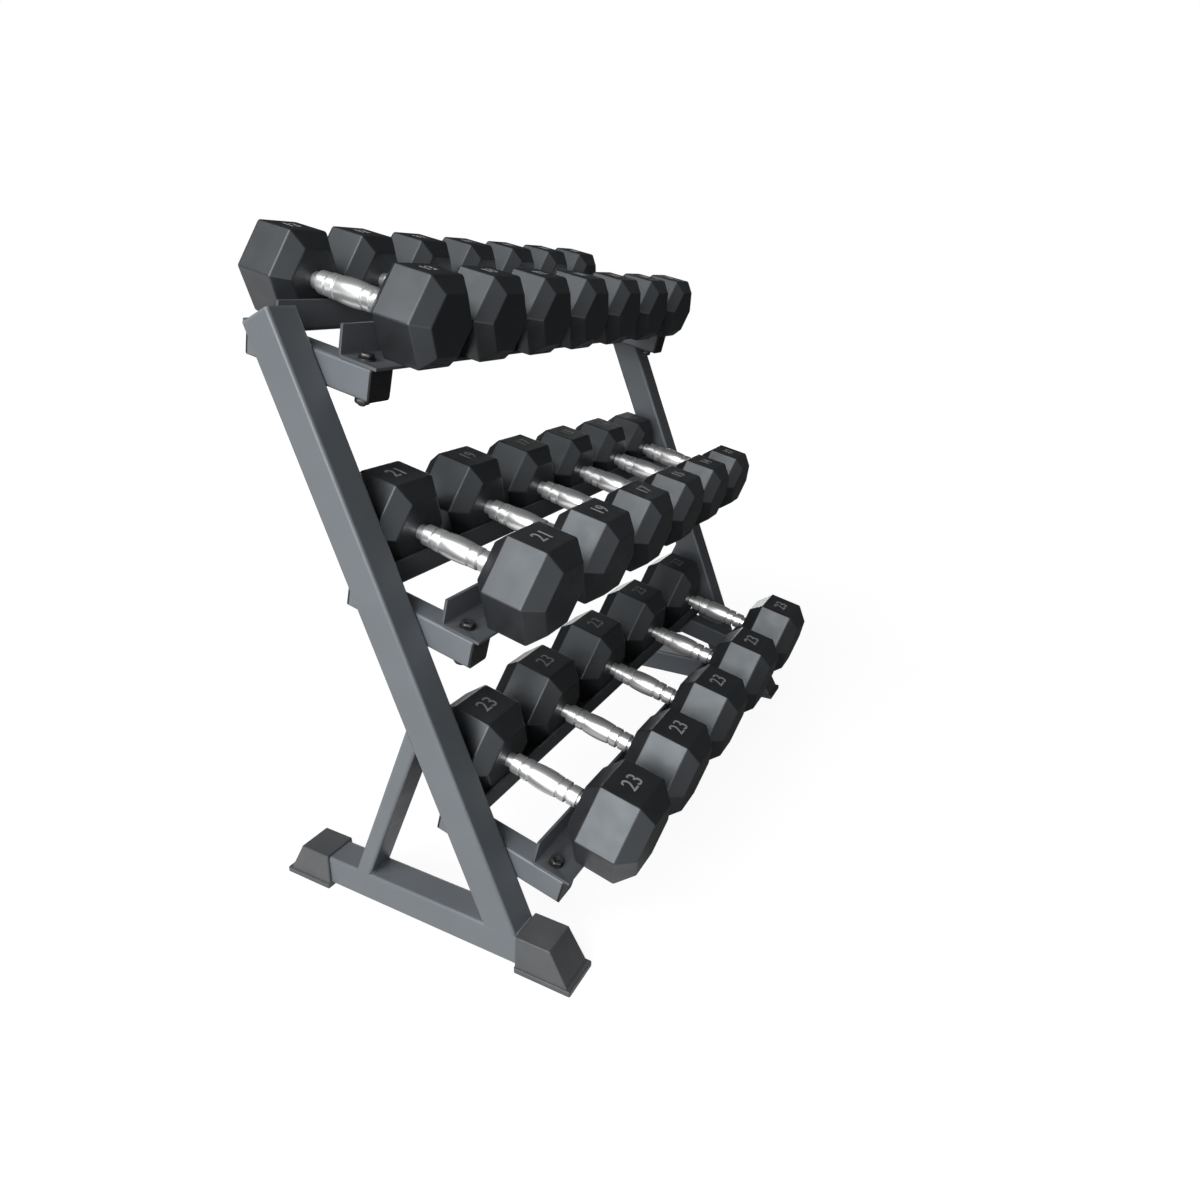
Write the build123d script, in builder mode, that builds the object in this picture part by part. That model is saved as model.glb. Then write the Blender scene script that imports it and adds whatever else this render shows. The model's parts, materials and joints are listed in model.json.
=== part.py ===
"""A three-tier dumbbell rack of welded tube and folded angle, loaded with hexagonal dumbbells.

Millimetres, +Z up. X runs along the rails, the front of the rack faces -Y, and the origin lies on the
floor in the middle of the loaded rack.
"""

from build123d import *
import os
from math import cos, radians, sin, sqrt, tan

os.makedirs("parts", exist_ok=True)

# Side frames: square tube, with a flat tube of the same width for the brace
rack_length = 1038.0
frame_tube = 50.0
frame_wall = 2.5
frame_corner = 5.0
base_length = 445.0
upright_length = 850.0
upright_lean = 22.4
upright_to_boot = 1.6
brace_depth = 25.0
brace_lean = 23.0
brace_to_boot = 55.0
weld_lap = 3.0

# Rubber boots over the ends of the base tubes
boot_sole = 5.0
boot_wall = 3.5
boot_cover = 56.0
boot_slope = 26.0
boot_flare = 2.5
boot_lip = 2.5
boot_toe = 6.0
boot_lip_height = 8.0
boot_edge = 2.5
boot_clearance = 0.2

# Shelf arms, and the plastic caps in the tube ends
arm_tube = 40.0
arm_wall = 2.0
arm_corner = 4.0
arm_length = 202.0
arm_forward = 4.0
shelf_tilt = 14.1
lowest_arm = 137.0
top_arm_drop = 55.9
cap_lip = 3.0
cap_plug = 14.0
cap_clearance = 0.2

# Rails: folded angle, the flanges stand on the inner edges
rail_base = 60.0
rail_flange = 40.0
rail_thickness = 4.0
rail_bend = 6.0
rail_gap = 101.0

# Bolts through rail and arm
bolt_diameter = 10.0
bolt_head_flats = 17.0
bolt_head_height = 6.4
bolt_inset = 23.0
bolt_end = 3.0
hole_clearance = 0.5
washer_diameter = 21.0
washer_thickness = 2.0
nut_height = 8.0
nut_clearance = 0.1

# Dumbbells: the size of a head is taken across its flats
grip_gap = 130.0
head_chamfer_share = 0.165
head_land = 36.0
head_land_share = 0.17
rest_gap = 0.1
flange_clearance = 0.5
grip_length = 44.0
grip_diameter = 35.0
grip_end_diameter = 32.0
groove_length = 3.0
groove_diameter = 27.0
ring_length = 11.0
ring_diameter = 32.0
collar_gap = 4.0
collar_length = 14.0
collar_diameter = 30.0
neck_diameter = 22.0
spigot_length = 40.0
spigot_diameter = 20.0
spigot_clearance = 0.05

# Rows of dumbbells, from the left end of the rails: the first size and the step to the next, the first clear
# gap between corners and the step to the next, the inset of the first corner, and how far forward of the
# middle of the shelf the row sits
slid_forward = grip_gap / 2 - rail_gap / 2 - rail_thickness - flange_clearance
end_clearance = 7.0
rows = {
    "bottom": dict(first=139.0, step=0.0, gap=10.5, gap_step=11.5, inset=1.0, forward=slid_forward),
    "middle": dict(first=134.0, step=-5.2, gap=18.0, gap_step=0.0, inset=1.0, forward=slid_forward),
    "top": dict(first=111.0, step=-1.2, gap=7.5, gap_step=0.0, inset=17.0, forward=-3.0),
}
tiers = list(rows)
sides = {"left": -1, "right": 1}

# Places that follow from the sizes above
lean = radians(upright_lean)
slant = radians(brace_lean)
tilt = radians(shelf_tilt)
across_corners = 2 / sqrt(3)
base_top = boot_sole + frame_tube
boot_inner = base_length / 2 + boot_wall - boot_cover
upright_foot = boot_inner - upright_to_boot - frame_tube / 2 / cos(lean)
brace_foot = boot_inner - brace_to_boot - brace_depth / 2 / cos(slant)
tier_spacing = (base_top + upright_length * cos(lean) - top_arm_drop - lowest_arm) / (len(tiers) - 1)
rail_length = rack_length - 2 * frame_tube
rail_seat = arm_tube / 2
plate_top = rail_seat + rail_thickness
bolt_out = arm_length / 2 - bolt_inset


def frame_x(side):
    """Middle of a side frame's tubes along X."""
    return sides[side] * (rack_length - frame_tube) / 2


def arm_x(side):
    """Middle of a shelf arm along X: it lies against the inner face of the upright."""
    return sides[side] * (rail_length - arm_tube) / 2


def head_chamfer(size):
    """Chamfer all round both ends of a head."""
    return head_chamfer_share * size


def head_length(size):
    """Length of a head along the handle, chamfers included."""
    return head_land + head_land_share * size + 2 * head_chamfer(size)


def row(tier):
    """Place along X and size of each dumbbell of a row, as many as fit between the uprights and the bolts."""
    size = rows[tier]["first"]
    gap = rows[tier]["gap"]
    corner = rows[tier]["inset"] - rail_length / 2
    placed = []
    while corner + size * across_corners <= rail_length / 2 - end_clearance:
        placed.append((corner + size * across_corners / 2, size))
        corner = corner + size * across_corners + gap
        gap = gap + rows[tier]["gap_step"]
        size = size + rows[tier]["step"]
    return placed


def tier_rise(tier):
    """Height of the middle of a tier's arms above the floor."""
    return lowest_arm + tier_spacing * tiers.index(tier)


def tier_depth(tier):
    """Middle of a tier's arms front to back, from the middle of the base tubes."""
    return (tier_rise(tier) - base_top) * tan(lean) - upright_foot - arm_forward


def front_reach(tier):
    """Front edge of a row's first and largest head, from the middle of the base tubes."""
    size = rows[tier]["first"]
    along = rows[tier]["forward"] + grip_gap / 2 + head_length(size)
    height = plate_top + rest_gap + size - head_chamfer(size)
    return tier_depth(tier) - along * cos(tilt) - height * sin(tilt)


def back_reach(tier):
    """Back edge of a row's first and largest head, from the middle of the base tubes."""
    size = rows[tier]["first"]
    along = grip_gap / 2 + head_length(size) - rows[tier]["forward"]
    height = plate_top + rest_gap + head_chamfer(size)
    return tier_depth(tier) + along * cos(tilt) - height * sin(tilt)


# The base tubes stand so that the loaded rack is centred on the origin, front to back
base_y = -(front_reach("bottom") + back_reach("top")) / 2


def shelf(tier):
    """Plane of a tier, through the middle of its arms: Y runs back along them, Z stands square to them."""
    origin = (0, base_y + tier_depth(tier), tier_rise(tier))
    return Plane(origin=origin, x_dir=(1, 0, 0), z_dir=(0, -sin(tilt), cos(tilt)))


def facing_back(plane, x, back, up):
    """Plane at a point of a shelf, across its depth: X along the rails, normal towards the back."""
    return Plane(origin=plane.from_local_coords((x, back, up)), x_dir=plane.x_dir, z_dir=plane.y_dir)


def facing_end(plane, x, back, up):
    """Plane at a point of a shelf, across the rails: X towards the back, normal along the rails."""
    return Plane(origin=plane.from_local_coords((x, back, up)), x_dir=plane.y_dir, z_dir=plane.x_dir)


def base_plane(side):
    """Plane across the front end of a base tube, facing back."""
    origin = (frame_x(side), base_y - base_length / 2, boot_sole + frame_tube / 2)
    return Plane(origin=origin, x_dir=(1, 0, 0), z_dir=(0, 1, 0))


def upright_plane(side):
    """Plane across an upright where its axis meets the top of the base tube, facing up it."""
    origin = (frame_x(side), base_y - upright_foot, base_top)
    return Plane(origin=origin, x_dir=(1, 0, 0), z_dir=(0, sin(lean), cos(lean)))


def brace_plane(side):
    """Plane across a brace where its axis meets the top of the base tube, facing up it."""
    origin = (frame_x(side), base_y + brace_foot, base_top)
    return Plane(origin=origin, x_dir=(1, 0, 0), z_dir=(0, -sin(slant), cos(slant)))


def frame_bar(start, length):
    """A frame tube's outside, filled: what a tube welded onto it is coped to."""
    with BuildPart() as bar:
        with BuildSketch(start):
            RectangleRounded(frame_tube, frame_tube, frame_corner)
        extrude(amount=length)
    return bar.part


# Side frames
def base_tube(side):
    with BuildPart() as tube:
        with BuildSketch(base_plane(side)):
            RectangleRounded(frame_tube, frame_tube, frame_corner)
            offset(amount=-frame_wall, mode=Mode.SUBTRACT)
        extrude(amount=base_length)
    return tube.part


def upright(side):
    below = upright_plane(side).offset(-frame_tube)
    with BuildPart() as tube:
        with BuildSketch(below):
            RectangleRounded(frame_tube, frame_tube, frame_corner)
            offset(amount=-frame_wall, mode=Mode.SUBTRACT)
        extrude(amount=frame_tube + upright_length - cap_lip)
        split(bisect_by=Plane.XY.offset(base_top - weld_lap), keep=Keep.TOP)
        add(frame_bar(base_plane(side), base_length), mode=Mode.SUBTRACT)
    return tube.part


def brace(side):
    below = brace_plane(side).offset(-frame_tube)
    axis = upright_plane(side)
    weld_face = Plane(origin=axis.from_local_coords((0, frame_tube / 2 - weld_lap, 0)), z_dir=axis.y_dir)
    with BuildPart() as tube:
        with BuildSketch(below):
            RectangleRounded(frame_tube, brace_depth, frame_corner)
            offset(amount=-frame_wall, mode=Mode.SUBTRACT)
        extrude(amount=upright_length)
        split(bisect_by=Plane.XY.offset(base_top - weld_lap), keep=Keep.TOP)
        split(bisect_by=weld_face, keep=Keep.TOP)
        add(frame_bar(base_plane(side), base_length), mode=Mode.SUBTRACT)
        add(frame_bar(axis, upright_length), mode=Mode.SUBTRACT)
    return tube.part


def shelf_arm(side, tier):
    level = shelf(tier)
    with BuildPart() as tube:
        with BuildSketch(facing_back(level, arm_x(side), -arm_length / 2, 0)):
            RectangleRounded(arm_tube, arm_tube, arm_corner)
            offset(amount=-arm_wall, mode=Mode.SUBTRACT)
        extrude(amount=arm_length)
        with BuildSketch(level.offset(rail_seat)):
            with Locations((arm_x(side), -bolt_out), (arm_x(side), bolt_out)):
                Circle(bolt_diameter / 2 + hole_clearance)
        extrude(amount=-arm_tube, mode=Mode.SUBTRACT)
    return tube.part


# Plastic caps: a lip over the end of the tube, and a plug inside it
def upright_caps():
    plug = frame_tube - 2 * frame_wall - 2 * cap_clearance
    with BuildPart() as caps:
        for side in sides:
            end = upright_plane(side).offset(upright_length - cap_lip)
            with BuildSketch(end):
                RectangleRounded(frame_tube, frame_tube, frame_corner)
            extrude(amount=cap_lip)
            with BuildSketch(end):
                RectangleRounded(plug, plug, frame_corner - frame_wall)
            extrude(amount=-cap_plug)
    return caps.part


def arm_caps():
    plug = arm_tube - 2 * arm_wall - 2 * cap_clearance
    with BuildPart() as caps:
        for tier in tiers:
            for side in sides:
                for outward in (-1, 1):
                    end = facing_back(shelf(tier), arm_x(side), outward * arm_length / 2, 0)
                    with BuildSketch(end):
                        RectangleRounded(arm_tube, arm_tube, arm_corner)
                    extrude(amount=outward * cap_lip)
                    with BuildSketch(end):
                        RectangleRounded(plug, plug, arm_corner - arm_wall)
                    extrude(amount=-outward * cap_plug)
    return caps.part


# Rubber boots: a flared block on a lip along the floor, hollowed for the end of the base tube
def rubber_boot():
    """A boot for the back end of a base tube, in the tube's own frame: the middle of the tube is at Y = 0."""
    width = frame_tube + 2 * boot_wall
    foot_length = boot_cover + boot_slope
    lip_length = foot_length + boot_toe
    tube_end = Plane(origin=(0, base_length / 2 + boot_clearance, boot_sole + frame_tube / 2),
                     x_dir=(1, 0, 0), z_dir=(0, -1, 0))
    with BuildPart() as boot:
        with BuildSketch(Plane.XY.offset(boot_lip_height)):
            with Locations((0, boot_inner + foot_length / 2)):
                Rectangle(width + 2 * boot_flare, foot_length)
        with BuildSketch(Plane.XY.offset(base_top + boot_wall)):
            with Locations((0, boot_inner + boot_cover / 2)):
                Rectangle(width, boot_cover)
        loft(ruled=True)
        fillet(boot.edges() - boot.edges().group_by(Axis.Z)[0], radius=boot_edge)
        with BuildSketch():
            with Locations((0, boot_inner + lip_length / 2)):
                RectangleRounded(width + 2 * boot_flare + 2 * boot_lip, lip_length, boot_edge)
        extrude(amount=boot_lip_height)
        with BuildSketch(tube_end):
            RectangleRounded(frame_tube, frame_tube, frame_corner)
        extrude(amount=base_length / 2, mode=Mode.SUBTRACT)
    return boot.part


def rubber_boots():
    boot = rubber_boot()
    with BuildPart() as boots:
        for side in sides:
            for turn in (0, 180):
                with Locations(Location((frame_x(side), base_y, 0), (0, 0, turn))):
                    add(boot)
    return boots.part


# Rails: the flange stands at the inner edge, and the base lies on the arms
def rail(tier, outward):
    """The front rail has outward = -1, the rear rail 1."""
    level = shelf(tier)
    inner = outward * rail_gap / 2
    outer = inner + outward * rail_base
    with BuildPart() as angle:
        with BuildSketch(facing_end(level, -rail_length / 2, 0, rail_seat)):
            with BuildLine():
                FilletPolyline((inner, rail_flange), (inner, 0), (outer, 0), radius=rail_bend)
                offset(amount=rail_thickness, side=Side.LEFT if outward > 0 else Side.RIGHT)
            make_face()
        extrude(amount=rail_length)
        with BuildSketch(level.offset(plate_top)):
            with Locations((arm_x("left"), outward * bolt_out), (arm_x("right"), outward * bolt_out)):
                Circle(bolt_diameter / 2 + hole_clearance)
        extrude(amount=-rail_thickness, mode=Mode.SUBTRACT)
    return angle.part


# Fasteners: at each crossing a bolt goes down through washer, rail, arm and washer into a nut
bolt_places = [(arm_x(side), outward * bolt_out) for side in sides for outward in (-1, 1)]
bolt_length = 2 * washer_thickness + rail_thickness + arm_tube + nut_height + bolt_end


def rail_bolts():
    with BuildPart() as bolts:
        for tier in tiers:
            under_head = shelf(tier).offset(plate_top + washer_thickness)
            with BuildSketch(under_head):
                with Locations(*bolt_places):
                    RegularPolygon(bolt_head_flats / 2, 6, major_radius=False)
            extrude(amount=bolt_head_height)
            with BuildSketch(under_head):
                with Locations(*bolt_places):
                    Circle(bolt_diameter / 2)
            extrude(amount=-bolt_length)
    return bolts.part


def rail_washers():
    with BuildPart() as washers:
        for tier in tiers:
            for seat in (plate_top, -rail_seat - washer_thickness):
                with BuildSketch(shelf(tier).offset(seat)):
                    with Locations(*bolt_places):
                        Circle(washer_diameter / 2)
                        Circle(bolt_diameter / 2 + hole_clearance, mode=Mode.SUBTRACT)
                extrude(amount=washer_thickness)
    return washers.part


def rail_nuts():
    with BuildPart() as nuts:
        for tier in tiers:
            with BuildSketch(shelf(tier).offset(-rail_seat - washer_thickness)):
                with Locations(*bolt_places):
                    RegularPolygon(bolt_head_flats / 2, 6, major_radius=False)
                    Circle(bolt_diameter / 2 + nut_clearance, mode=Mode.SUBTRACT)
            extrude(amount=-nut_height)
    return nuts.part


# Dumbbells: a hexagonal head on each end of a turned handle, whose spigots go into the heads
def dumbbell_heads(tier, x, size):
    level = shelf(tier)
    height = plate_top + rest_gap + size / 2
    inner_faces = {outward: facing_back(level, x, outward * grip_gap / 2 - rows[tier]["forward"], height)
                   for outward in (-1, 1)}
    with BuildPart() as heads:
        for outward, inner_face in inner_faces.items():
            with BuildSketch(inner_face):
                RegularPolygon(size / 2, 6, major_radius=False)
            extrude(amount=outward * head_length(size))
        ends = heads.faces().filter_by(Axis(level.origin, level.y_dir))
        chamfer(ends.edges(), length=head_chamfer(size))
        for outward, inner_face in inner_faces.items():
            with BuildSketch(inner_face):
                Circle(spigot_diameter / 2 + spigot_clearance)
            extrude(amount=outward * (spigot_length + spigot_clearance), mode=Mode.SUBTRACT)
    return heads.part


def dumbbell_handle(tier, x, size):
    middle = facing_end(shelf(tier), x, -rows[tier]["forward"], plate_top + rest_gap + size / 2)
    grip_end = grip_length / 2
    ring_start = grip_end + groove_length
    ring_end = ring_start + ring_length
    collar_start = ring_end + collar_gap
    collar_end = collar_start + collar_length
    head_face = grip_gap / 2
    spigot_end = head_face + spigot_length
    with BuildPart() as handle:
        with BuildSketch(middle):
            with BuildLine():
                Polyline((0, grip_diameter / 2),
                         (grip_end, grip_end_diameter / 2),
                         (grip_end, groove_diameter / 2),
                         (ring_start, groove_diameter / 2),
                         (ring_start, ring_diameter / 2),
                         (ring_end, ring_diameter / 2),
                         (ring_end, neck_diameter / 2),
                         (collar_start, neck_diameter / 2),
                         (collar_start, collar_diameter / 2),
                         (collar_end, collar_diameter / 2),
                         (collar_end, neck_diameter / 2),
                         (head_face, neck_diameter / 2),
                         (head_face, spigot_diameter / 2),
                         (spigot_end, spigot_diameter / 2),
                         (spigot_end, 0))
                mirror(about=Plane.YZ)
                Line((-spigot_end, 0), (spigot_end, 0))
            make_face()
        revolve(axis=Axis(middle.origin, middle.x_dir))
    return handle.part


# Every piece under its own name
pieces = {}
for side in sides:
    pieces[f"{side}_base_tube"] = base_tube(side)
    pieces[f"{side}_upright"] = upright(side)
    pieces[f"{side}_brace"] = brace(side)
    for tier in tiers:
        pieces[f"{side}_{tier}_arm"] = shelf_arm(side, tier)
for tier in tiers:
    pieces[f"{tier}_front_rail"] = rail(tier, -1)
    pieces[f"{tier}_rear_rail"] = rail(tier, 1)
    for number, (x, size) in enumerate(row(tier), start=1):
        pieces[f"{tier}_dumbbell_{number}_heads"] = dumbbell_heads(tier, x, size)
        pieces[f"{tier}_dumbbell_{number}_handle"] = dumbbell_handle(tier, x, size)
pieces["rubber_boots"] = rubber_boots()
pieces["upright_caps"] = upright_caps()
pieces["arm_caps"] = arm_caps()
pieces["rail_bolts"] = rail_bolts()
pieces["rail_washers"] = rail_washers()
pieces["rail_nuts"] = rail_nuts()

for name, piece in pieces.items():
    piece.label = name
    export_step(piece, f"parts/{name}.step")
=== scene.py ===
import json
import math

import bmesh
import bpy
from mathutils import Matrix, Vector


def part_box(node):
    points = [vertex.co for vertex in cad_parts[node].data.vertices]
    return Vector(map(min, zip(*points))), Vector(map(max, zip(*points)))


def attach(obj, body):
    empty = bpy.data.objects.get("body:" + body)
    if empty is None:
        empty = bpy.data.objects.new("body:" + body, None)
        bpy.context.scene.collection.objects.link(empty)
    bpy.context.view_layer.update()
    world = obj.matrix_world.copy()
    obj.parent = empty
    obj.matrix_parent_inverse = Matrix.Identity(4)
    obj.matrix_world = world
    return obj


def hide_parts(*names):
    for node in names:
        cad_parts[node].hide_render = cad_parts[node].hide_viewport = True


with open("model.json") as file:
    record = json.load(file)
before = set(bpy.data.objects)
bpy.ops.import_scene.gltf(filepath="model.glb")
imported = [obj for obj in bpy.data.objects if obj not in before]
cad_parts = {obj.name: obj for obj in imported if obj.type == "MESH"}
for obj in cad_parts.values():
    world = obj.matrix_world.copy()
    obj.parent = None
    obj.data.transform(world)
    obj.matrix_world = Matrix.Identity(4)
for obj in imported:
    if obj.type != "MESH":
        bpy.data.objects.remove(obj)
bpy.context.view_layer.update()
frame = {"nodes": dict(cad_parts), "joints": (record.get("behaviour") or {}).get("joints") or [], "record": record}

nodes = frame["nodes"]
scene = bpy.context.scene

# Directions of the sloping shelves: the joints lift the dumbbells square to them
ACROSS = Vector((1, 0, 0))
UP = Vector(frame["joints"][0]["axis"]).normalized()
BACK = UP.cross(ACROSS).normalized()
SHELF = Matrix((ACROSS, BACK, UP)).transposed()

# Points, and levels, that lie closer than this are one
WELD = 1e-6
NEAR = 1e-4

dumbbells = [joint["child"] for joint in frame["joints"]]
base_low, base_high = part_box("left_base_tube")
base_y = (base_low.y + base_high.y) / 2


# Meshes
def shelf_points(node):
    """A node's vertices along the shelf's own directions: across, back, up."""
    return [SHELF.transposed() @ v.co for v in nodes[node].data.vertices]


def span(values):
    """The lowest and the highest of some values."""
    return min(values), max(values)


def islands(node):
    """The vertices of each separate solid of a node, along the shelf's own directions."""
    bm = bmesh.new()
    bm.from_mesh(nodes[node].data)
    bmesh.ops.remove_doubles(bm, verts=bm.verts, dist=WELD)
    found, seen = [], set()
    for start in bm.verts:
        if start in seen:
            continue
        seen.add(start)
        queue, group = [start], []
        while queue:
            v = queue.pop()
            group.append(SHELF.transposed() @ v.co)
            for edge in v.link_edges:
                other = edge.other_vert(v)
                if other not in seen:
                    seen.add(other)
                    queue.append(other)
        found.append(group)
    bm.free()
    return found


def volume(node):
    """The volume of a node's solids."""
    bm = bmesh.new()
    bm.from_mesh(nodes[node].data)
    result = abs(bm.calc_volume())
    bm.free()
    return result


def piece(name, bm, body, material, slot, *replaced):
    """Makes an object of a bmesh, smooth shaded, riding on a body."""
    bmesh.ops.recalc_face_normals(bm, faces=bm.faces)
    mesh = bpy.data.meshes.new(name)
    bm.to_mesh(mesh)
    bm.free()
    for polygon in mesh.polygons:
        polygon.use_smooth = True
    obj = bpy.data.objects.new(name, mesh)
    scene.collection.objects.link(obj)
    mesh.materials.append(material)
    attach(obj, body)
    if replaced:
        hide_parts(*replaced)
    return obj


def round_edges(obj, width, segments=2, angle=25):
    """Rounds a piece's edges that turn by more than an angle, and keeps its flats flat."""
    bevel = obj.modifiers.new("round_edges", "BEVEL")
    bevel.width = width
    bevel.segments = segments
    bevel.limit_method = "ANGLE"
    bevel.angle_limit = math.radians(angle)
    bevel.harden_normals = True
    bevel.use_clamp_overlap = True


CREASE = math.radians(40)


def crease(bm):
    """Turns all faces outwards and keeps the edges between flats sharp."""
    bmesh.ops.recalc_face_normals(bm, faces=bm.faces)
    for edge in bm.edges:
        edge.smooth = edge.calc_face_angle(math.pi) < CREASE


def skin(bm, rings, bore=False):
    """Faces between closed rings of points; the end rings are capped, or joined as a bore."""
    made = [[bm.verts.new(p) for p in ring] for ring in rings]
    pairs = list(zip(made, made[1:]))
    if bore:
        pairs.append((made[-1], made[0]))
    else:
        bm.faces.new(made[0])
        bm.faces.new(made[-1])
    for a, b in pairs:
        for i in range(len(a)):
            j = (i + 1) % len(a)
            bm.faces.new((a[i], a[j], b[j], b[i]))


def lathe(bm, place, axis, side, profile, turns):
    """Turns a profile of (along, radius) about an axis through a place."""
    other = axis.cross(side)
    rings = []
    for along, radius in profile:
        ring = []
        for i in range(turns):
            a = 2 * math.pi * i / turns
            ring.append(place + axis * along + (side * math.cos(a) + other * math.sin(a)) * radius)
        rings.append(ring)
    skin(bm, rings)


# Materials
def material(name):
    """A new material with its nodes, links and shader."""
    mat = bpy.data.materials.new(name)
    mat.use_nodes = True
    return mat, mat.node_tree.nodes, mat.node_tree.links, mat.node_tree.nodes["Principled BSDF"]


def noise(n, links, coords, scale, detail, stretch=None):
    """A noise over the object's own coordinates, in metres, stretched along an axis where asked."""
    tex = n.new("ShaderNodeTexNoise")
    tex.inputs["Scale"].default_value = scale
    tex.inputs["Detail"].default_value = detail
    source = coords.outputs["Object"]
    if stretch:
        mapping = n.new("ShaderNodeMapping")
        mapping.inputs["Scale"].default_value = stretch
        links.new(source, mapping.inputs["Vector"])
        source = mapping.outputs["Vector"]
    links.new(source, tex.inputs["Vector"])
    return tex.outputs["Fac"]


def ramp(n, links, fac, stops):
    """Colours over a value, from stops of position and colour."""
    node = n.new("ShaderNodeValToRGB")
    elements = node.color_ramp.elements
    while len(elements) < len(stops):
        elements.new(0.5)
    for element, (position, color) in zip(elements, stops):
        element.position = position
        element.color = (*color, 1)
    links.new(fac, node.inputs["Fac"])
    return node.outputs["Color"]


def spread(n, links, fac, low, high, start=0.3, end=0.7):
    """A value that goes from low to high while another goes from start to end."""
    node = n.new("ShaderNodeMapRange")
    for socket, value in (("From Min", start), ("From Max", end), ("To Min", low), ("To Max", high)):
        node.inputs[socket].default_value = value
    links.new(fac, node.inputs["Value"])
    return node.outputs["Result"]


def bump(n, links, height, distance, strength, under=None):
    """A normal from a height, on top of another normal where given."""
    node = n.new("ShaderNodeBump")
    node.inputs["Distance"].default_value = distance
    node.inputs["Strength"].default_value = strength
    links.new(height, node.inputs["Height"])
    if under:
        links.new(under, node.inputs["Normal"])
    return node.outputs["Normal"]


def surface(name, color, vary, rough, metallic=0.0, specular=0.5, grain=(900, 0.00012, 0.25),
            cloud=9.0, scuff=(40, None), wave=None, tint=(1, 1, 1)):
    """A finish with clouded colour, uneven gloss and a fine grain.

    vary is the share by which the clouds change the colour, rough the range of the roughness.
    grain and wave are scale, height and strength; scuff is the scale and stretch of the gloss.
    """
    mat, n, links, shader = material(name)
    coords = n.new("ShaderNodeTexCoord")
    dark = tuple(c * (1 - vary) for c in color)
    light = tuple(c * (1 + vary) for c in color)
    clouds = noise(n, links, coords, cloud, 5)
    clouded = ramp(n, links, clouds, [(0.3, dark), (0.5, color), (0.7, light)])
    links.new(clouded, shader.inputs["Base Color"])
    gloss = noise(n, links, coords, scuff[0], 6, scuff[1])
    links.new(spread(n, links, gloss, rough[0], rough[1]), shader.inputs["Roughness"])
    shader.inputs["Metallic"].default_value = metallic
    shader.inputs["Specular IOR Level"].default_value = specular
    shader.inputs["Specular Tint"].default_value = (*tint, 1)
    under = None
    if wave:
        under = bump(n, links, noise(n, links, coords, wave[0], 2), wave[1], wave[2])
    normal = bump(n, links, noise(n, links, coords, grain[0], 3), grain[1], grain[2], under)
    links.new(normal, shader.inputs["Normal"])
    return mat


paint = surface("frame_paint", (0.142, 0.156, 0.172), 0.06, (0.32, 0.44), grain=(700, 0.00015, 0.3),
                scuff=(18, (1, 1, 6)), wave=(60, 0.0003, 0.15))
# The rails wear the frame's own grey; here it is darkened to about six tenths, as painted shade for their faces in
# shade under the heads
rail_paint = surface("rail_paint", (0.082, 0.089, 0.098), 0.08, (0.42, 0.58), grain=(700, 0.00015, 0.3),
                     scuff=(60, (0.2, 3, 3)), wave=(60, 0.0003, 0.15))
rubber = surface("head_rubber", (0.022, 0.0235, 0.026), 0.12, (0.34, 0.43), specular=0.7,
                 grain=(1400, 0.0001, 0.3), cloud=26, wave=(45, 0.0006, 0.2), tint=(0.88, 0.95, 1.0))
chrome = surface("handle_chrome", (0.9, 0.905, 0.91), 0.02, (0.28, 0.36), metallic=0.82,
                 grain=(30, 0.00002, 0.05), scuff=(30, (1, 1, 1)))
boot_rubber = surface("boot_rubber", (0.082, 0.086, 0.091), 0.1, (0.36, 0.46), specular=0.45,
                      grain=(1100, 0.0002, 0.4), cloud=30)
black_plastic = surface("arm_cap_plastic", (0.012, 0.012, 0.013), 0.12, (0.45, 0.58), specular=0.35,
                        grain=(1000, 0.0001, 0.3))
grey_plastic = surface("upright_cap_plastic", (0.17, 0.185, 0.2), 0.07, (0.42, 0.55),
                       grain=(1000, 0.0001, 0.3))
black_steel = surface("fastener_steel", (0.07, 0.07, 0.072), 0.2, (0.3, 0.45), metallic=0.7,
                      grain=(1500, 0.00005, 0.2), cloud=120)
print_grey = surface("number_print", (0.3, 0.3, 0.305), 0.2, (0.5, 0.65),
                     grain=(1400, 0.0001, 0.3), cloud=160)

finish = {"frame_paint": paint, "rail_paint": rail_paint, "head_rubber": rubber,
          "handle_chrome": chrome, "boot_rubber": boot_rubber, "arm_cap_plastic": black_plastic,
          "upright_cap_plastic": grey_plastic, "fastener_steel": black_steel}
for subpart in frame["record"]["subparts"]:
    data = nodes[subpart["node"]].data
    data.materials.clear()
    data.materials.append(finish[subpart["material_slot"]])


# Heads: the hexagon, its length and its chamfers are read from the solids
HEAD_EDGE = 0.0018
NUMBER_HEIGHT = 0.17  # as a share of the size over the flats
FONT_SIZE = 1.4  # of the font, for figures one high
NUMBER_RISE = 0.0003
NUMBER_CURVE = 3
IRON, STEEL = 7200, 7850


def hexagon(x, back, up, flats):
    """A ring across a head, with a flat on top and below."""
    corner = flats / math.sqrt(3)
    ring = []
    for k in range(6):
        a = math.radians(60 * k)
        ring.append(SHELF @ Vector((x + corner * math.cos(a), back, up + corner * math.sin(a))))
    return ring


def read_heads(name):
    """Middle, size, chamfer and both lengthways spans of a dumbbell's heads."""
    points = shelf_points(f"{name}_heads")
    x = sum(span([p.x for p in points])) / 2
    low, high = span([p.z for p in points])
    stations = sorted({round(p.y, 5) for p in points})
    inner = max(zip(stations, stations[1:]), key=lambda ends: ends[1] - ends[0])
    front, rear = stations[0], stations[-1]
    end_low, end_high = span([p.z for p in points if abs(p.y - front) < NEAR])
    return dict(x=x, up=(low + high) / 2, top=high, flats=high - low, inner=inner,
                chamfer=((high - low) - (end_high - end_low)) / 2,
                spans=((front, inner[0]), (inner[1], rear)))


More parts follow.
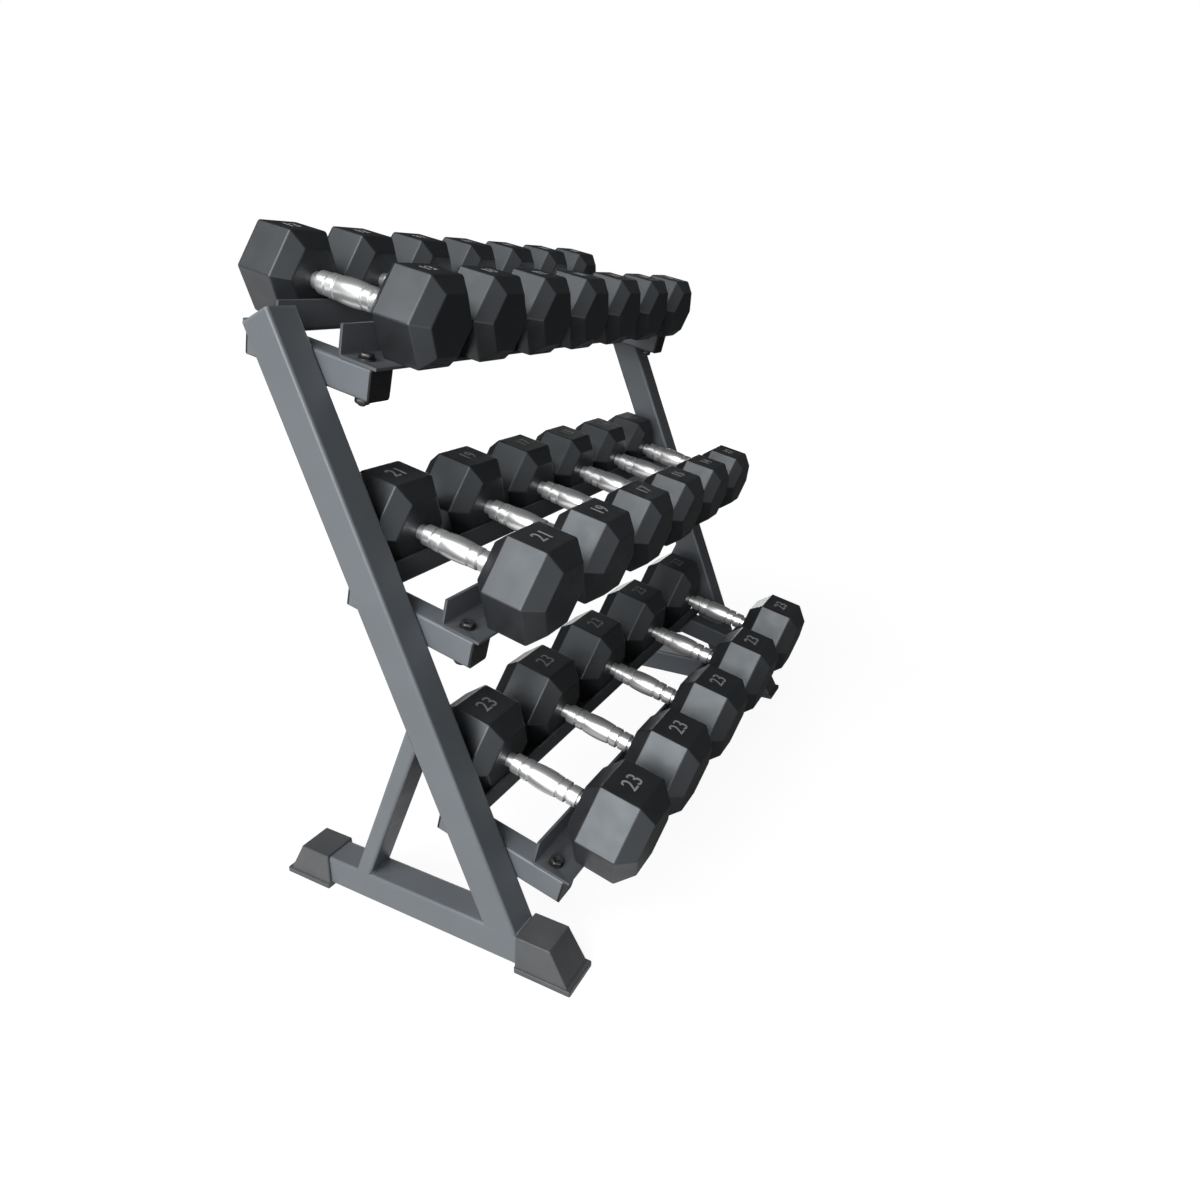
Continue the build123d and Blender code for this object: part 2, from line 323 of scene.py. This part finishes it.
def numeral(bm, text, head, start, end):
    """The weight in plain numbers on the upper flat of a head, read from the front."""
    curve = bpy.data.curves.new("numeral", "FONT")
    curve.body = text
    curve.align_x = "CENTER"
    curve.align_y = "CENTER"
    curve.size = head["flats"] * NUMBER_HEIGHT * FONT_SIZE
    curve.extrude = NUMBER_RISE
    curve.resolution_u = NUMBER_CURVE
    obj = bpy.data.objects.new("numeral", curve)
    scene.collection.objects.link(obj)
    mesh = bpy.data.meshes.new_from_object(obj.evaluated_get(bpy.context.evaluated_depsgraph_get()))
    bpy.data.objects.remove(obj)
    bpy.data.curves.remove(curve)
    place = SHELF @ Vector((head["x"], (start + end) / 2, head["top"]))
    mesh.transform(Matrix.Translation(place) @ SHELF.to_4x4())
    bm.from_mesh(mesh)
    bpy.data.meshes.remove(mesh)


for name in dumbbells:
    head = read_heads(name)
    weight = IRON * volume(f"{name}_heads") + STEEL * volume(f"{name}_handle")
    bm = bmesh.new()
    marks = bmesh.new()
    for start, end in head["spans"]:
        small = head["flats"] - 2 * head["chamfer"]
        skin(bm, [hexagon(head["x"], start, head["up"], small),
                  hexagon(head["x"], start + head["chamfer"], head["up"], head["flats"]),
                  hexagon(head["x"], end - head["chamfer"], head["up"], head["flats"]),
                  hexagon(head["x"], end, head["up"], small)])
        numeral(marks, str(round(weight)), head, start, end)
    heads = piece(f"{name}_moulded_heads", bm, name, rubber, "head_rubber", f"{name}_heads")
    round_edges(heads, HEAD_EDGE, segments=3)
    bmesh.ops.remove_doubles(marks, verts=marks.verts, dist=WELD)
    crease(marks)
    piece(f"{name}_numbers", marks, name, print_grey, "head_rubber")


# Handles: turned to the solid's own profile, with a smooth swell in place of the two cones
TURNS = 56
SWELL_STEPS = 10
HANDLE_EDGE = 0.0007


def read_profile(node, head):
    """A handle's middle, and its steps from there to a head: start and end, each along and radius."""
    middle = sum(head["inner"]) / 2
    reach = head["inner"][1] - middle
    points = []
    for p in shelf_points(node):
        radius = math.hypot(p.x - head["x"], p.z - head["up"])
        points.append((round(p.y - middle, 4), round(radius, 4)))
    runs = {}
    for edge in nodes[node].data.edges:
        start, end = sorted(points[i] for i in edge.vertices)
        if -NEAR < start[0] < end[0] < reach + NEAR and start[1] > NEAR:
            runs[start[0], end[0]] = (start, end)
    return middle, [runs[key] for key in sorted(runs)]


for name in dumbbells:
    head = read_heads(name)
    middle, runs = read_profile(f"{name}_handle", head)
    cone = [run for run in runs if run[0][1] > run[1][1]]
    widest = cone[0][0][1]
    end, grip = cone[-1][1]
    half = []
    for i in range(SWELL_STEPS + 1):
        share = i / SWELL_STEPS
        half.append((end * share, widest - (widest - grip) * share * share))
    for run in runs:
        if run not in cone:
            half += run
    profile = [(-along, radius) for along, radius in reversed(half[1:])] + half
    bm = bmesh.new()
    lathe(bm, SHELF @ Vector((head["x"], middle, head["up"])), BACK, ACROSS, profile, TURNS)
    handle = piece(f"{name}_turned_handle", bm, name, chrome, "handle_chrome", f"{name}_handle")
    round_edges(handle, HANDLE_EDGE, angle=35)


# Bolts and nuts: hexagons with turned chamfers, and threads on the ends of the bolts
HEX_STEPS = 8
HEX_ROUND = 6 * HEX_STEPS
HEX_CHAMFER = math.tan(math.radians(30))
FACE, DISH_RIM, DISH_FLOOR = 0.475, 0.3, 0.27  # radii, as shares of the size over the flats
DISH_DEPTH = 0.0006
THREAD_PITCH = 0.0015
THREAD_DEPTH = 0.0007
THREAD_LENGTH = 0.011
BOLT_POINT = 0.0012
BOLT_TURNS = 28
NUT_REACH = 0.001


def hex_ring(x, back, up, flats, drop):
    """A hexagon with its corners turned away downwards (drop = -1), upwards (1) or not at all (0)."""
    ring = []
    for k in range(HEX_ROUND):
        a = 2 * math.pi * k / HEX_ROUND
        off = (a + math.pi / 6) % (math.pi / 3) - math.pi / 6
        radius = flats / 2 / math.cos(math.pi / 6 - abs(off))
        level = up + drop * max(0.0, radius - flats * FACE) * HEX_CHAMFER
        ring.append(SHELF @ Vector((x + radius * math.cos(a), back + radius * math.sin(a), level)))
    return ring


def circle_ring(x, back, up, radius):
    """A circle with as many points as a hexagon's ring."""
    ring = []
    for k in range(HEX_ROUND):
        a = 2 * math.pi * k / HEX_ROUND
        ring.append(SHELF @ Vector((x + radius * math.cos(a), back + radius * math.sin(a), up)))
    return ring


bolts = bmesh.new()
nuts = bmesh.new()
nut_solids = islands("rail_nuts")
for points in islands("rail_bolts"):
    x = sum(span([p.x for p in points])) / 2
    back = sum(span([p.y for p in points])) / 2
    bottom, top = span([p.z for p in points])
    levels = sorted({round(p.z, 4) for p in points})
    under = levels[-2]
    flats = max(p.y for p in points) - min(p.y for p in points)
    radius = max(math.hypot(p.x - x, p.y - back) for p in points if abs(p.z - bottom) < NEAR)
    skin(bolts, [hex_ring(x, back, under, flats, 0),
                 hex_ring(x, back, top, flats, -1),
                 circle_ring(x, back, top, flats * FACE),
                 circle_ring(x, back, top, flats * DISH_RIM),
                 circle_ring(x, back, top - DISH_DEPTH, flats * DISH_FLOOR)])
    profile = [(bottom, radius - BOLT_POINT), (bottom + BOLT_POINT, radius)]
    along = bottom + BOLT_POINT
    while along < bottom + THREAD_LENGTH:
        profile += [(along + THREAD_PITCH / 2, radius - THREAD_DEPTH), (along + THREAD_PITCH, radius)]
        along += THREAD_PITCH
    profile.append((under, radius))
    lathe(bolts, SHELF @ Vector((x, back, 0)), UP, ACROSS, profile, BOLT_TURNS)
    for solid in nut_solids:
        if math.hypot(solid[0].x - x, solid[0].y - back) > flats:
            continue
        low, high = span([p.z for p in solid])
        if not bottom - NUT_REACH < low < top:
            continue
        skin(nuts, [circle_ring(x, back, low, radius),
                    circle_ring(x, back, low, flats * FACE),
                    hex_ring(x, back, low, flats, 1),
                    hex_ring(x, back, high, flats, -1),
                    circle_ring(x, back, high, flats * FACE),
                    circle_ring(x, back, high, radius)], bore=True)
piece("finished_bolts", bolts, "frame", black_steel, "fastener_steel", "rail_bolts")
piece("finished_nuts", nuts, "frame", black_steel, "fastener_steel", "rail_nuts")


# Rails: the folded plates with their sawn and punched edges broken
RAIL_EDGE = 0.0007
RAIL_FLAT = math.radians(1)

for node in [name for name in nodes if name.endswith("_rail")]:
    bm = bmesh.new()
    bm.from_mesh(nodes[node].data)
    bmesh.ops.remove_doubles(bm, verts=bm.verts, dist=WELD)
    bmesh.ops.dissolve_limit(bm, angle_limit=RAIL_FLAT, verts=bm.verts, edges=bm.edges)
    rail = piece(f"{node}_dressed", bm, "frame", rail_paint, "rail_paint", node)
    round_edges(rail, RAIL_EDGE, angle=40)


# Boots: a block with a sloping toe on a lip with a rolled edge, read from the levels of the solids
BOOT_CORNER = 0.0026
BOOT_ROLL = 0.002  # of the lip
BOOT_TOP_ROLL = 0.0024
BOOT_STEPS = 6
FOOT_BAND = 0.00005, 0.0006  # above the lip, where the block starts
NECK_BAND = 0.009, 0.013  # below the top, where its edges are still straight


def boot_ring(x, y, z, radius):
    """A rectangle with round corners; x and y are its spans."""
    corners = ((x[1], y[1], 0), (x[0], y[1], 90), (x[0], y[0], 180), (x[1], y[0], 270))
    ring = []
    for cx, cy, turn in corners:
        cx += radius if cx == x[0] else -radius
        cy += radius if cy == y[0] else -radius
        for i in range(BOOT_STEPS + 1):
            a = math.radians(turn + 90 * i / BOOT_STEPS)
            ring.append(Vector((cx + radius * math.cos(a), cy + radius * math.sin(a), z)))
    return ring


def roll(radius):
    """Insets and drops of a rounded upper edge, from its side to its top."""
    for i in range(BOOT_STEPS + 1):
        a = math.pi / 2 * i / BOOT_STEPS
        yield radius * (1 - math.cos(a)), radius * (1 - math.sin(a))


bm = bmesh.new()
for solid in islands("rubber_boots"):
    points = [SHELF @ p for p in solid]
    left, right = span([p.x for p in points])
    top = max(p.z for p in points)
    levels = {}
    for p in points:
        levels.setdefault(round(p.z, 4), []).append(p)
    lip = max((z for z in levels if 0 < z < top / 2), key=lambda z: len(levels[z]))
    low = [p for p in points if FOOT_BAND[0] < p.z - lip < FOOT_BAND[1]]
    high = [p for p in points if NECK_BAND[0] < top - p.z < NECK_BAND[1]]
    near, far = span([p.y for p in points])
    out = -1 if abs(near - base_y) > abs(far - base_y) else 1
    inner, toe = (far, near) if out < 0 else (near, far)
    rise = (top - lip) / (sum(p.z for p in high) / len(high) - lip)
    foot_x = span([p.x for p in low])
    neck_x = span([p.x for p in high])
    head_x = [a + (b - a) * rise for a, b in zip(foot_x, neck_x)]
    foot_y = max((p.y for p in low), key=lambda y: y * out)
    neck_y = max((p.y for p in high), key=lambda y: y * out)
    head_y = foot_y + (neck_y - foot_y) * rise
    rings = [boot_ring((left, right), sorted((inner, toe)), 0, BOOT_CORNER)]
    for inset, drop in roll(BOOT_ROLL):
        lengthways = sorted((inner, toe - out * inset))
        rings.append(boot_ring((left + inset, right - inset), lengthways, lip - drop, BOOT_CORNER - inset))
    skin(bm, rings)
    rings = [boot_ring(foot_x, sorted((inner, foot_y)), lip, BOOT_CORNER)]
    for inset, drop in roll(BOOT_TOP_ROLL):
        across = head_x[0] + inset, head_x[1] - inset
        lengthways = sorted((inner + out * inset, head_y - out * inset))
        rings.append(boot_ring(across, lengthways, top - drop, BOOT_CORNER - inset))
    skin(bm, rings)
crease(bm)
boots = piece("moulded_boots", bm, "frame", boot_rubber, "boot_rubber", "rubber_boots")
boots.modifiers.new("flat_faces", "WEIGHTED_NORMAL").keep_sharp = True


# Weld beads where the tubes of the side frames meet
BEAD = 0.0028
BEAD_END = 0.45  # of the bead's own thickness
BEAD_TAPER = 0.004
BEAD_STEP = 0.0012
BEAD_LEAST = 8
BEAD_RIPPLE = 0.0036
RIPPLE_HEIGHT = 0.1  # of the bead's own thickness
BEAD_SIDES = 10
CORNER = 0.005
FACING, LEVEL = 0.8, 0.01


def flat(node, toward):
    """Point and normal of the outermost large flat of a node that faces a direction."""
    facing = [polygon for polygon in nodes[node].data.polygons
              if polygon.normal.dot(toward) > FACING and abs(polygon.normal.x) < LEVEL]
    largest = max(polygon.area for polygon in facing)
    best = max((polygon for polygon in facing if polygon.area > largest / 2),
               key=lambda polygon: polygon.normal.dot(polygon.center))
    return best.center.copy(), best.normal.copy()


def meet(plane_a, plane_b):
    """Where two flats that run along X meet: the point's Y and Z."""
    (p, n), (q, m) = plane_a, plane_b
    det = n.y * m.z - n.z * m.y
    a, b = n.y * p.y + n.z * p.z, m.y * q.y + m.z * q.z
    return (a * m.z - b * n.z) / det, (n.y * b - m.y * a) / det


def bead(bm, start, end):
    """A rippled bead along a line, thinner at its ends."""
    length = (end - start).length
    axis = (end - start).normalized()
    side = axis.orthogonal().normalized()
    other = axis.cross(side)
    count = max(BEAD_LEAST, round(length / BEAD_STEP))
    rings = []
    for i in range(count + 1):
        along = length * i / count
        close = min(along, length - along)
        radius = BEAD * (BEAD_END + (1 - BEAD_END) * min(1.0, close / BEAD_TAPER))
        radius *= 1 + RIPPLE_HEIGHT * math.cos(2 * math.pi * along / BEAD_RIPPLE)
        ring = []
        for k in range(BEAD_SIDES):
            a = 2 * math.pi * k / BEAD_SIDES
            ring.append(start + axis * along + (side * math.cos(a) + other * math.sin(a)) * radius)
        rings.append(ring)
    skin(bm, rings)


for side, outward in (("left", -1), ("right", 1)):
    bm = bmesh.new()
    low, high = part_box(f"{side}_upright")
    left, right = low.x + CORNER, high.x - CORNER
    base_top = flat(f"{side}_base_tube", Vector((0, 0, 1)))
    upright_front = flat(f"{side}_upright", Vector((0, -1, 0)))
    upright_rear = flat(f"{side}_upright", Vector((0, 1, 0)))
    brace_front = flat(f"{side}_brace", Vector((0, -1, 0)))
    brace_rear = flat(f"{side}_brace", Vector((0, 1, 0)))
    for a, b in ((upright_front, base_top), (upright_rear, base_top), (brace_front, base_top),
                 (brace_rear, base_top), (brace_front, upright_rear), (brace_rear, upright_rear)):
        y, z = meet(a, b)
        bead(bm, Vector((left, y, z)), Vector((right, y, z)))
    inner = low.x if outward > 0 else high.x
    for tier in ("bottom", "middle", "top"):
        for toward in (UP, -UP):
            arm = flat(f"{side}_{tier}_arm", toward)
            front_y, front_z = meet(arm, upright_front)
            rear_y, rear_z = meet(arm, upright_rear)
            start, end = Vector((inner, front_y, front_z)), Vector((inner, rear_y, rear_z))
            inset = (end - start).normalized() * CORNER
            bead(bm, start + inset, end - inset)
    piece(f"{side}_weld_beads", bm, "frame", paint, "frame_paint")


# Studio: a pale floor that keeps the shadow, large soft lights on the left and a weak one behind
FLOOR_REACH = 40.0
FLOOR_STEPS = 64
FLOOR_GREY = 0.14
DIM = 0.025
WHITE = (1, 1, 1, 1)
AIM = Vector((0, 0, 0.5))
# place, width, height and watts
SOFTBOXES = {"key": ((-7.65, -0.7, 2.55), 6.4, 4.0, 520),
             "upper": ((-4.3, 0.7, 4.5), 4.4, 2.8, 215),
             "rear": ((5.4, 3.4, 0.9), 3.6, 1.5, 100)}


def both(n, links, a, b, operation):
    """Two values in one math operation."""
    node = n.new("ShaderNodeMath")
    node.operation = operation
    for socket, value in zip(node.inputs, (a, b)):
        links.new(value, socket)
    return node.outputs[0]


def seen(n, links, in_gloss):
    """1 for what the camera sees straight, and a value for what it sees in gloss and glass."""
    path = n.new("ShaderNodeLightPath")
    gloss = both(n, links, path.outputs["Is Glossy Ray"], path.outputs["Is Transmission Ray"], "MAXIMUM")
    mirrored = both(n, links, gloss, in_gloss, "MULTIPLY")
    return both(n, links, path.outputs["Is Camera Ray"], mirrored, "MAXIMUM")


bm = bmesh.new()
ring = []
for k in range(FLOOR_STEPS):
    a = 2 * math.pi * k / FLOOR_STEPS
    ring.append(Vector((FLOOR_REACH * math.cos(a), FLOOR_REACH * math.sin(a), 0)))
bm.faces.new([bm.verts.new(p) for p in ring])
floor_mesh = bpy.data.meshes.new("floor")
bm.to_mesh(floor_mesh)
bm.free()
floor = bpy.data.objects.new("floor", floor_mesh)
scene.collection.objects.link(floor)
mat = bpy.data.materials.new("pale_floor")
mat.use_nodes = True
n, links = mat.node_tree.nodes, mat.node_tree.links
n.clear()
out = n.new("ShaderNodeOutputMaterial")
matte = n.new("ShaderNodeBsdfDiffuse")
matte.inputs["Color"].default_value = (FLOOR_GREY, FLOOR_GREY, FLOOR_GREY, 1)
glow = n.new("ShaderNodeEmission")
glow.inputs["Color"].default_value = WHITE
coords = n.new("ShaderNodeTexCoord")
length = n.new("ShaderNodeVectorMath")
length.operation = "LENGTH"
links.new(coords.outputs["Object"], length.inputs[0])
fade = spread(n, links, length.outputs["Value"], 0.93, 1.0, start=0.9, end=2.8)
sides = n.new("ShaderNodeSeparateXYZ")
links.new(coords.outputs["Object"], sides.inputs[0])
lit_side = spread(n, links, sides.outputs["X"], 1.0, 0.02, start=-0.62, end=-0.2)
links.new(both(n, links, fade, seen(n, links, lit_side), "MULTIPLY"), glow.inputs["Strength"])
add = n.new("ShaderNodeAddShader")
links.new(matte.outputs[0], add.inputs[0])
links.new(glow.outputs[0], add.inputs[1])
links.new(add.outputs[0], out.inputs["Surface"])
floor_mesh.materials.append(mat)

# The world lights dimly and shows white; in gloss it is a pale wall, low down on the left and in front
world = bpy.data.worlds.new("studio")
scene.world = world
world.use_nodes = True
n, links = world.node_tree.nodes, world.node_tree.links
n.clear()
out = n.new("ShaderNodeOutputWorld")
dim = n.new("ShaderNodeBackground")
dim.inputs["Color"].default_value = WHITE
dim.inputs["Strength"].default_value = DIM
white = n.new("ShaderNodeBackground")
white.inputs["Color"].default_value = WHITE
white.inputs["Strength"].default_value = 1.0
coords = n.new("ShaderNodeTexCoord")
split = n.new("ShaderNodeSeparateXYZ")
links.new(coords.outputs["Generated"], split.inputs[0])
low_wall = spread(n, links, split.outputs["Z"], 1.0, 0.25, start=0.25, end=0.7)
lit_side = spread(n, links, split.outputs["X"], 1.0, 0.06, start=-0.5, end=0.1)
front_side = spread(n, links, split.outputs["Y"], 1.0, 0.15, start=0.1, end=0.45)
wall = both(n, links, both(n, links, low_wall, lit_side, "MULTIPLY"), front_side, "MULTIPLY")
mix = n.new("ShaderNodeMixShader")
links.new(seen(n, links, wall), mix.inputs["Fac"])
links.new(dim.outputs[0], mix.inputs[1])
links.new(white.outputs[0], mix.inputs[2])
links.new(mix.outputs[0], out.inputs["Surface"])

for name, (place, width, height, watts) in SOFTBOXES.items():
    light = bpy.data.lights.new(name, "AREA")
    light.shape = "RECTANGLE"
    light.size, light.size_y = width, height
    light.energy = watts
    obj = bpy.data.objects.new(name, light)
    obj.location = place
    obj.rotation_euler = (AIM - Vector(place)).to_track_quat("-Z", "Y").to_euler()
    scene.collection.objects.link(obj)

# Camera: the photograph's own place and lens, fitted to the edges of the side frame.
# The photograph's width, the focal length and the lens's centre are in its pixels
PHOTO = 1200
FOCAL, CENTRE_X, CENTRE_Y = 814.19, 526.23, 640.64
YAW, FALL, ROLL = math.radians(-59.27), math.radians(23.42), math.radians(-0.43)
STAND = Vector((-1.24708, base_y - 0.62283, 0.86736))
SENSOR = 36.0

away = Vector((math.sin(YAW) * math.cos(FALL), -math.cos(YAW) * math.cos(FALL), math.sin(FALL)))
level = (-away).cross(Vector((0, 0, 1))).normalized()
upward = level.cross(-away)
right = level * math.cos(ROLL) + upward * math.sin(ROLL)
top = upward * math.cos(ROLL) - level * math.sin(ROLL)
lens = bpy.data.cameras.new("camera")
lens.sensor_width = SENSOR
lens.lens = SENSOR * FOCAL / PHOTO
lens.shift_x = (PHOTO / 2 - CENTRE_X) / PHOTO
lens.shift_y = (CENTRE_Y - PHOTO / 2) / PHOTO
camera = bpy.data.objects.new("camera", lens)
scene.collection.objects.link(camera)
camera.matrix_world = Matrix.Translation(STAND) @ Matrix((right, top, away)).transposed().to_4x4()
scene.camera = camera
scene.view_settings.view_transform = "Standard"
